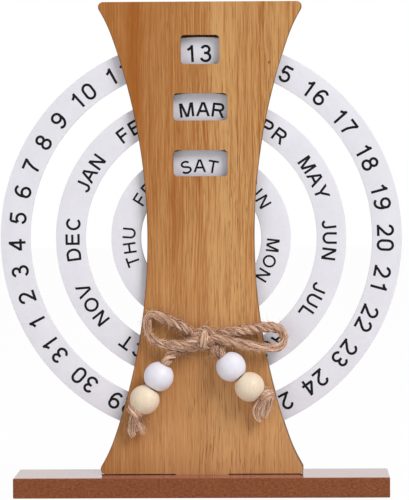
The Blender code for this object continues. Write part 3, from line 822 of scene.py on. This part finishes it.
# Loose fibres, root + length (t way + t t bend aside + wave), tapered to their tips.
def hairs(name, roots, ways, lengths, thickness, curl, bends=7):
    count = len(roots)
    t = np.linspace(0, 1, bends)[None, :, None]
    aside = unit(np.cross(ways, random.normal(size=(count, 3))))
    other = np.cross(ways, aside)
    bend = random.uniform(-curl, curl, (count, 1, 1))
    wave = 0.08 * np.sin(t * 9 + random.uniform(0, 6, (count, 1, 1)))
    path = t * ways[:, None] + t**2 * bend * aside[:, None] + t * wave * other[:, None]
    line = roots[:, None] + lengths[:, None, None] * path
    line[..., 1] = np.minimum(line[..., 1], boardLow[1] - 0.15 * mm)  # no hair goes into the board
    radius = np.broadcast_to(thickness * (1 - 0.6 * t[..., 0]), (count, bends))
    tone = np.broadcast_to(random.uniform(*twine["hairTones"], (count, 1)), (count, bends))
    return layTubes(name, line, radius, fibreReference, 3, juteFibre, tone)


# Stray fibres that leave the twine's surface at a slant: out times a random share plus along, either way.
def fuzz(name, line, amount, longest=twine["fuzz"]):
    index = random.integers(2, len(line) - 2, amount)
    along = unit(np.gradient(line, axis=0))[index]
    out = unit(np.cross(along, random.normal(size=(amount, 3))))
    roots = line[index] + out * twineRadius * 0.7
    ways = unit(out * random.uniform(0.15, 0.9, (amount, 1)) + along * random.choice([-1, 1], (amount, 1)))
    lengths = longest * random.uniform(0.25, 1, amount) ** 1.5 * random.choice([1, 1, 1, 1, 1.9], amount)
    return hairs(name, roots, ways, lengths, twine["hairThick"], twine["hairCurl"])


# How the frayed ends' fibres lie: thickness, turn over their length, depth as a share of width, and the
# points in each; then the loose hairs among them.
fray = {"thick": 0.11 * mm, "twist": 0.5, "flat": 0.6, "bends": 14, "brushHairs": 70, "brushThick": 0.05 * mm}


# Fibres of one opened ply: line + (share cos turn + wander) side + flat share sin turn up. Each keeps its
# share of the bundle's width, which changes along the route.
def tuft(name, route, widths, amount):
    line, _ = smoothRoute(route)
    t = np.linspace(0, 1, fray["bends"]) * random.uniform(0.86, 1, (amount, 1))
    index = (t * (len(line) - 1)).astype(int)
    side, up = crossFrame(line, np.array((0, 1, 0)))
    width = np.interp(t, np.linspace(0, 1, len(widths)), widths)
    share = np.sqrt(random.uniform(0, 1, (amount, 1))) * width
    turn = random.uniform(0, 2 * math.pi, (amount, 1)) + fray["twist"] * t
    wander = 0.10 * mm * np.sin(t * 7 + random.uniform(0, 6, (amount, 1))) * t
    lines = (line[index] + (share * np.cos(turn) + wander)[..., None] * side[index]
             + (fray["flat"] * share * np.sin(turn))[..., None] * up[index])
    lines[..., 1] = np.minimum(lines[..., 1], boardLow[1] - 0.2 * mm)
    radius = fray["thick"] * random.uniform(0.6, 1.2, (amount, 1)) * (1 - 0.55 * t**3)
    tone = random.uniform(0, 1.05, (amount, 1)) + 0.35 * t**2
    return layTubes(name, lines, radius, fibreReference, 5, juteFibre, tone)


# The bow's routes, as in the model: loops as shares along the reach, out from the board in twine
# diameters and up the rise; ends beside the knot in shares of its half width, depth and height.
bow = {
    "left": {
        "reach": 23.1 * mm, "rise": 9.4 * mm, "phase": 0.4,
        "shares": ((-0.27, 0.14, 0.32), (-0.43, 0.06, 0.53), (-0.62, 0.00, 0.74), (-0.79, 0.00, 0.93),
                   (-0.89, 0.05, 1.00), (-0.965, 0.14, 0.92), (-1.00, 0.24, 0.65), (-0.99, 0.34, 0.30),
                   (-0.93, 0.44, 0.03), (-0.81, 0.60, -0.17), (-0.64, 0.80, -0.28), (-0.46, 0.94, -0.28),
                   (-0.29, 1.00, -0.22)),
        "ends": ((-1.14, 0.5, 0.3), (-1.14, -0.52, -0.22)),
        "laid": (1, 1, 0.8, 0.3, 0.1, 0.3, 0.9, 1.1, 1),
        "sizes": (0.9, 1.0, 1.12, 1.15, 1.0, 0.9, 0.85, 0.95, 1.0, 0.9),
    },
    "right": {
        "reach": 31.7 * mm, "rise": 4.1 * mm, "phase": 2.0,
        "shares": ((0.20, 0.10, 0.44), (0.33, 0.06, 0.54), (0.46, 0.03, 0.66), (0.60, 0.02, 0.82),
                   (0.74, 0.04, 0.97), (0.86, 0.10, 1.00), (0.95, 0.20, 0.70), (1.00, 0.32, 0.02),
                   (0.96, 0.44, -0.66), (0.87, 0.54, -0.97), (0.75, 0.62, -0.98), (0.62, 0.70, -0.82),
                   (0.48, 0.78, -0.60), (0.34, 0.88, -0.36), (0.22, 0.96, -0.12)),
        "ends": ((1.14, 0.5, 0.3), (1.14, -0.52, 0)),
        "laid": (1, 1.1, 1.2, 1, 0.4, 0.3, 0.6, 0.7, 1),
        "sizes": (0.85, 0.95, 1.15, 1.2, 1.0, 0.9, 0.95, 1.05, 1.0, 0.9),
    },
    "knotHalf": np.array((3.6, 3.2, 4.4)) * mm,
    "loopFuzz": 1500, "knotFuzz": 200,
    "seatGap": 0.3 * mm,
}
sideSign = {"left": -1, "right": 1}
knotMiddle = sum(np.array(corner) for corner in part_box("bow_knot")) / 2
twineDepth = boardLow[1] - bow["seatGap"] - twineRadius


# A place by the knot, in shares of its half width, depth and height.
def byTheKnot(shares):
    return knotMiddle + bow["knotHalf"] * np.array(shares)


# A place inside the knot where a strand ends, out of sight.
def inKnot(side, height):
    return byTheKnot((sideSign[side] * 0.25, 0.1, height))


# A loop's route from the knot and back: the shares times reach, twine diameter and rise.
def loopRoute(side):
    loop = bow[side]
    middle = [np.array((knotMiddle[0] + along * loop["reach"], twineDepth - out * twine["diameter"],
                        knotMiddle[2] + up * loop["rise"])) for along, out, up in loop["shares"]]
    return [inKnot(side, 0.15), byTheKnot(loop["ends"][0]), *middle, byTheKnot(loop["ends"][1]),
            inKnot(side, -0.15)]


# Hides the model's node for one run of twine and prints the run's length.
def declareTwine(piece, name, length):
    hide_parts(name)
    print("%s: %.1f mm of twine" % (piece.name, length / mm))


# One loop of the bow with its fuzz.
def makeLoop(side):
    loop, route = bow[side], loopRoute(side)
    piece, line, length, coated = layTwine("bow_loop_%s_twine" % side, route, phase=loop["phase"],
                                           laid=loop["laid"], sizes=loop["sizes"])
    loose = fuzz("bow_loop_%s_fuzz" % side, line, bow["loopFuzz"])
    declareTwine(piece, "bow_loop_" + side, length)


makeLoop("left")
makeLoop("right")

# The knot: a wrap down its front, and strands that arch over its top, pass below and cross it, each with
# its size and its places in shares of the knot's half size.
knot = {
    "wrapSize": 0.8, "wrapShift": -0.2 * mm, "wrapBow": 0.35 * mm, "wrapDepth": 0.72, "wrapOut": 0.3 * mm,
    "wrapHeight": 0.66, "laid": (0.35,), "fibres": 16, "tones": (0.35, 1.15),
    "strands": {
        "arch": (0.8, ((-1.2, 0.1, 0.20), (-0.9, -0.1, 0.5), (-0.35, -0.3, 0.72), (0.25, -0.38, 0.74),
                       (0.75, -0.3, 0.5), (1.05, -0.1, 0.15), (0.9, 0.2, 0.0))),
        "under": (0.9, ((-1.15, 0.05, -0.42), (-0.5, 0.1, -0.62), (0.1, 0.1, -0.7), (0.65, 0.15, -0.62),
                        (1.0, 0.3, -0.5))),
        "cross": (0.95, ((-1.1, 0.35, 0.45), (-0.5, -0.2, 0.2), (0.0, -0.3, 0.0), (0.5, -0.35, -0.12),
                         (1.15, -0.5, -0.1))),
    },
}


# The wrap runs round the knot: across a little by sin t, out by cos t and up by sin t, with t = 0 in front.
def makeBowKnot():
    _, deep, tall = bow["knotHalf"]
    wrap = [knotMiddle + (knot["wrapShift"] + knot["wrapBow"] * math.sin(t),
                          -deep * knot["wrapDepth"] * math.cos(t) - knot["wrapOut"],
                          tall * knot["wrapHeight"] * math.sin(t))
            for t in np.radians(np.linspace(-150, 150, 15))]
    piece, line, _, _ = layTwine("bow_knot_wrap", wrap, reference=(1, 0, 0), sizes=(knot["wrapSize"],),
                                 phase=1.0, laid=knot["laid"], fibres=knot["fibres"], tones=knot["tones"])
    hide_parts("bow_knot")
    fuzz("bow_knot_fuzz", line, bow["knotFuzz"])
    for name, (size, places) in knot["strands"].items():
        layTwine("bow_knot_" + name, [byTheKnot(shares) for shares in places], sizes=(size,), phase=2.6,
                 fibres=6)


makeBowKnot()


bead = {
    "diameter": 11.8 * mm, "bore": 2.1 * mm, "lip": 0.35 * mm, "steps": 96, "arcSteps": 41,
    "white": linear(232, 230, 238), "whiteDark": linear(226, 223, 233), "whiteMottle": 3.0,
    "whiteRough": (0.56, 0.48), "whiteBump": (0.12, 0.05 * mm),
    "natural": linear(238, 222, 200), "naturalDark": linear(224, 201, 172), "pore": linear(196, 160, 122),
    "grainScale": (1.4, 1.4, 1.4), "streaks": 0.9, "pores": 0.3, "poreDepth": 0.4,
    "naturalRough": (0.55, 0.45), "naturalBump": (0.2, 0.04 * mm),
}


# Satin paint over turned wood, a little uneven: one mottle in the colour, the sheen and the bump.
def makeWhiteBeadMaterial():
    material, tree = newMaterial("beadWhite")
    mottle = mottled(tree, placeMm(tree), bead["whiteMottle"])
    return dress(material, mixColour(tree, mottle, bead["whiteDark"], bead["white"]),
                 between(tree, mottle, 0, 1, *bead["whiteRough"]), mottle, *bead["whiteBump"])


# Bare pale wood with faint straight grain, from the shared grain group.
def makeNaturalBeadMaterial():
    material, tree = newMaterial("beadNatural")
    place = stretched(tree, placeMm(tree), bead["grainScale"])
    grain = placeGroup(tree, woodGroup, {"Place": place, "Streaks": bead["streaks"], "Pores": bead["pores"]})
    colour = mixColour(tree, between(tree, grain["Tone"], -0.4, 0.4), bead["naturalDark"], bead["natural"])
    colour = mixColour(tree, times(tree, grain["Pore"], bead["poreDepth"]), colour, bead["pore"])
    rough = between(tree, grain["Height"], 0.2, 0.8, *bead["naturalRough"])
    return dress(material, colour, rough, grain["Height"], *bead["naturalBump"])


# Bore, rounded lip, sphere and lip again, as (radius, along), anticlockwise from the bore's foot.
def beadProfile():
    radius, bore, lip = bead["diameter"] / 2, bead["bore"], bead["lip"]
    start = math.acos((bore + lip * 2.2) / radius)
    turn = np.linspace(-start, start, bead["arcSteps"])
    sphere = np.stack([radius * np.cos(turn), radius * np.sin(turn)], 1)
    end = radius * math.sin(start)
    quarter = np.linspace(0, math.pi / 2, 5)[:-1]
    lipTop = np.stack([bore + lip - lip * np.sin(quarter), end - lip + lip * np.cos(quarter)], 1)
    return np.vstack([sphere, lipTop, [(bore, end - lip), (bore, -end + lip)], (lipTop * (1, -1))[::-1]])


# One bead turned about its joint's axis.
def makeBead(name, material):
    joint = joints[name + "_spin"]
    points, faces = revolve(beadProfile(), bead["steps"])
    turn = np.array(Vector(joint["axis"]).to_track_quat("Z", "Y").to_matrix())
    placed = points @ turn.T + np.array(joint["pos_m"])
    piece = meshPiece(name + "_turned", placed, faces, material, name)
    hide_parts(name)
    return piece


beadWhite, beadNatural = makeWhiteBeadMaterial(), makeNaturalBeadMaterial()

# The tails. "start" is where one leaves the knot, and "lead" its first bends as shares of the way to the
# bead. "past" and "shift" (right, out, up) place the end knot's middle from the last bead's, in mm, "turn"
# is the knot's radius in mm and "size" its twine's. Each ply has its places (right, out, up) from the knot,
# and the tuft's half width from start to end, in mm.
openPly = (0.4, 0.6, 0.8, 0.8, 0.6)
tails = {
    "left": {
        "start": (-0.95, 0.5, -0.8),
        "lead": ((0.30, 0.00, 0.08), (0.55, 0.08, 0.21), (0.80, 0.55, 0.46), (0.94, 0.93, 0.78)),
        "sizes": (0.9, 1.1, 1.3, 1.2, 1, 1, 1, 1, 1),
        "past": 7.0, "shift": (0.4, 0, 1.9), "turn": 2.0, "size": 0.95, "fibres": 190,
        "plies": (
            (((-0.4, 0, -0.5), (-1.5, 0.5, -3.1), (-1.9, 1.5, -6.3), (-2.1, 2.4, -9.0), (-0.9, 3.0, -11.3)),
             (0.8, 1.0, 1.2, 1.45, 1.2)),
            (((0.2, 0, -0.5), (-0.3, 0.8, -2.7), (1.1, 1.6, -5.5), (2.6, 2.4, -8.3), (2.8, 2.9, -10.4)),
             (0.7, 0.9, 1.1, 1.4, 1.2)),
            (((-0.2, 0, -0.5), (-0.9, 1.0, -3.3), (-0.3, 2.4, -6.2), (0.5, 3.0, -9.2)),
             (0.5, 0.7, 0.8, 0.8)),
        ),
    },
    "right": {
        "start": (0.98, 0.44, -0.7),
        "lead": ((0.40, 0.55, 0.35), (0.75, 0.93, 0.68)),
        "sizes": (1, 1.25, 1.25, 1, 1, 1, 1, 1, 1),
        "past": 7.4, "shift": (1.1, 0, 1.9), "turn": 1.8, "size": 0.75, "fibres": 90,
        "plies": (
            (((0, 0, 0), (-1.6, 0.2, -1.0), (-3.5, 0.8, -3.6), (-4.6, 1.6, -6.4), (-4.0, 2.4, -9.2),
              (-1.9, 2.7, -11.1)), (0.4, 0.6, 0.7, 0.75, 0.7, 0.6)),
            (((0, 0, 0), (-0.6, 0, -1.4), (-2.0, 1.0, -4.0), (-3.0, 2.0, -6.8), (-2.4, 2.7, -10.0)), openPly),
            (((0, 0, 0), (0.4, 0.3, -1.4), (-0.5, 1.2, -4.3), (-1.3, 2.2, -7.2), (-1.0, 2.8, -9.4)), openPly),
            (((0, 0, 0), (1.7, 0, -1.0), (1.4, 0.8, -3.9), (0.2, 1.6, -7.2), (-0.6, 2.2, -9.8)), openPly),
            (((0.6, 0.2, 1.0), (2.2, 0.8, 0.2), (2.3, 1.6, -1.9), (0.6, 2.6, -4.8), (-2.7, 3.0, -6.4)),
             (0.4, 0.5, 0.6, 0.5, 0.4)),
        ),
    },
    "beadHalfLength": 5.08 * mm,
    "endLaid": (0.6,), "endFibres": 14, "endTones": (0.3, 1.15), "endFuzz": 160,
    "fibres": 11, "loosen": 0.05, "fuzz": 220, "longestFuzz": 3.2 * mm,
}


# Two tight turns round the twine, R (cos t, 0.85 sin t) square to the tail, moving along it.
def makeEndKnot(side, middle):
    along = np.array(joints["natural_bead_%s_spin" % side]["axis"])
    across = unit(np.cross(along, (0, 1, 0)))
    reach = tails[side]["turn"] * mm
    t = np.linspace(-0.4, 4.4 * math.pi, 34)[:, None]
    move = (t / (4 * math.pi) - 0.5) * reach * 1.5
    route = middle + along * move + reach * (np.cos(t) * across + np.sin(t) * np.array((0, 0.85, 0)))
    piece, line, _, coated = layTwine("end_knot_%s_twine" % side, route, reference=along + (0, 0.01, 0),
                                      sizes=(tails[side]["size"],), phase=1.3, laid=tails["endLaid"],
                                      fibres=tails["endFibres"], tones=tails["endTones"])
    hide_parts("end_knot_" + side)
    return piece, coated, fuzz("end_knot_%s_fuzz" % side, line, tails["endFuzz"])


# Below the end knot the twine opens into parted plies, each a tuft of fibres, and a brush of loose hairs.
def makeFray(side, middle):
    pieces = []
    for index, (places, widths) in enumerate(tails[side]["plies"]):
        route = [middle + np.array(place) * mm for place in places]
        pieces.append(tuft("frayed_%s_ply_%d" % (side, index + 1), route, np.array(widths) * mm,
                           tails[side]["fibres"]))
    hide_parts("frayed_end_" + side)
    amount = fray["brushHairs"]
    firstPly = np.array(tails[side]["plies"][0][0])
    down = unit(firstPly[-1] - firstPly[0])
    roots = middle + down * 1.2 * mm + random.normal(size=(amount, 3)) * (0.8 * mm, 0.5 * mm, 0.5 * mm)
    ways = unit(down + random.normal(size=(amount, 3)) * (0.3, 0.12, 0.2))
    brush = hairs("frayed_%s_brush" % side, roots, ways, 9 * mm * random.uniform(0.4, 0.9, amount),
                  fray["brushThick"], 0.3, bends=9)
    return [*pieces, brush]


# The tail's route: knot, lead, through both beads, and into the end knot.
def tailRoute(side, endKnot):
    first, second = joints["white_bead_%s_spin" % side], joints["natural_bead_%s_spin" % side]
    white, natural = np.array(first["pos_m"]), np.array(second["pos_m"])
    start = byTheKnot(tails[side]["start"])
    entry = white - np.array(first["axis"]) * tails["beadHalfLength"]
    leave = natural + np.array(second["axis"]) * tails["beadHalfLength"]
    leads = [start + np.array(shares) * (entry - start) for shares in tails[side]["lead"]]
    return [inKnot(side, -0.35), start, *leads, entry, white, (white + natural) / 2, natural, leave, endKnot]


# One tail with its beads, end knot and frayed end.
def makeTail(side):
    beads = [makeBead("white_bead_" + side, beadWhite),
             makeBead("natural_bead_" + side, beadNatural)]
    tail, last = tails[side], joints["natural_bead_%s_spin" % side]
    middle = (np.array(last["pos_m"]) + np.array(last["axis"]) * tail["past"] * mm
              + np.array(tail["shift"]) * mm)
    endKnot = makeEndKnot(side, middle)
    frayed = makeFray(side, middle)
    route = tailRoute(side, middle)
    piece, line, length, coated = layTwine("bow_tail_%s_twine" % side, route, loosen=tails["loosen"],
                                           phase=1.0, fibres=tails["fibres"], sizes=tail["sizes"])
    loose = fuzz("bow_tail_%s_fuzz" % side, line[:len(line) // 3], tails["fuzz"], tails["longestFuzz"])
    declareTwine(piece, "bow_tail_" + side, length)


makeTail("left")
makeTail("right")
print("bow and beads made")


stage = {
    "floor": linear(250, 250, 250), "floorRough": 0.9, "floorHalf": 3.0,
    "glowShare": 0.97,          # of the floor, where it is seen straight or in a reflection
    "worldLight": 0.30,
    "lights": {"key": ((1.6, -1.76, 2.2), 1.5, 73.5),       # place, size in metres, power
               "fill": ((-1.6, -1.3, 0.6), 1.2, 8.0)},
    "aim": (0, 0, 0.1),                                     # every light points here
}


# 1 where a ray comes from the camera, a reflection or through a clear piece, else 0.
def seenDirectly(tree):
    rays = node(tree, "LightPath").outputs
    seen = maths(tree, "MAXIMUM", rays["Is Camera Ray"], rays["Is Glossy Ray"])
    return maths(tree, "MAXIMUM", seen, rays["Is Transmission Ray"])


# A pale floor that takes the object's shadow where light falls on it, and looks white where it is seen.
def makeFloor():
    mesh = bpy.data.meshes.new("floor")
    half = stage["floorHalf"]
    corners = [(-half, -half, 0), (half, -half, 0), (half, half, 0), (-half, half, 0)]
    mesh.from_pydata(corners, [], [(0, 1, 2, 3)])
    material, tree = newMaterial("paleFloor")
    body = tree.nodes["Principled BSDF"]
    body.inputs["Base Color"].default_value = stage["floor"]
    body.inputs["Roughness"].default_value = stage["floorRough"]
    glow = node(tree, "Emission", {"Color": (1, 1, 1, 1), "Strength": 1.0}).outputs[0]
    seen = times(tree, seenDirectly(tree), stage["glowShare"])
    blend = node(tree, "MixShader", {0: seen, 1: body.outputs[0], 2: glow}).outputs[0]
    tree.links.new(blend, tree.nodes["Material Output"].inputs["Surface"])
    mesh.materials.append(material)
    floor = bpy.data.objects.new("floor", mesh)
    bpy.context.scene.collection.objects.link(floor)


# A white world to look at, which lights the object with worldLight only.
def makeWorld():
    world = bpy.data.worlds.new("studio")
    bpy.context.scene.world = world
    world.use_nodes = True
    tree = world.node_tree
    tree.nodes.clear()
    light = node(tree, "Background", {"Color": (1, 1, 1, 1), "Strength": stage["worldLight"]}).outputs[0]
    white = node(tree, "Background", {"Color": (1, 1, 1, 1), "Strength": 1.0}).outputs[0]
    blend = node(tree, "MixShader", {0: seenDirectly(tree), 1: light, 2: white}).outputs[0]
    tree.links.new(blend, node(tree, "OutputWorld").inputs["Surface"])


# The lamps, each turned to the aim.
def makeLights():
    for name, (place, size, power) in stage["lights"].items():
        light = bpy.data.lights.new(name, "AREA")
        light.size = size
        light.energy = power
        lamp = bpy.data.objects.new(name, light)
        lamp.location = place
        lamp.rotation_euler = (Vector(stage["aim"]) - Vector(place)).to_track_quat("-Z", "Y").to_euler()
        bpy.context.scene.collection.objects.link(lamp)


camera = {"distance": 1515 * mm, "height": 148 * mm, "yaw": 1.27, "roll": -0.3, "lens": 273.4,
          "aimX": 1.3 * mm, "aimZ": 97.4 * mm}


# A long lens a little right of the middle and above it, at (distance sin yaw, -distance cos yaw) from the
# aim, rolled as the photo is.
def makeCamera():
    data = bpy.data.cameras.new("camera")
    data.lens = camera["lens"]
    data.sensor_width = 36
    aim = Vector((camera["aimX"], 0, camera["aimZ"]))
    yaw, far = math.radians(camera["yaw"]), camera["distance"]
    place = Vector((aim.x + far * math.sin(yaw), -far * math.cos(yaw), camera["height"]))
    eye = bpy.data.objects.new("camera", data)
    eye.location = place
    look = (aim - place).to_track_quat("-Z", "Y").to_matrix()
    eye.rotation_euler = (look @ Matrix.Rotation(math.radians(camera["roll"]), 3, "Z")).to_euler()
    bpy.context.scene.collection.objects.link(eye)
    bpy.context.scene.camera = eye


makeFloor()
makeWorld()
makeLights()
makeCamera()
bpy.context.scene.view_settings.view_transform = "Standard"
print("stage set")
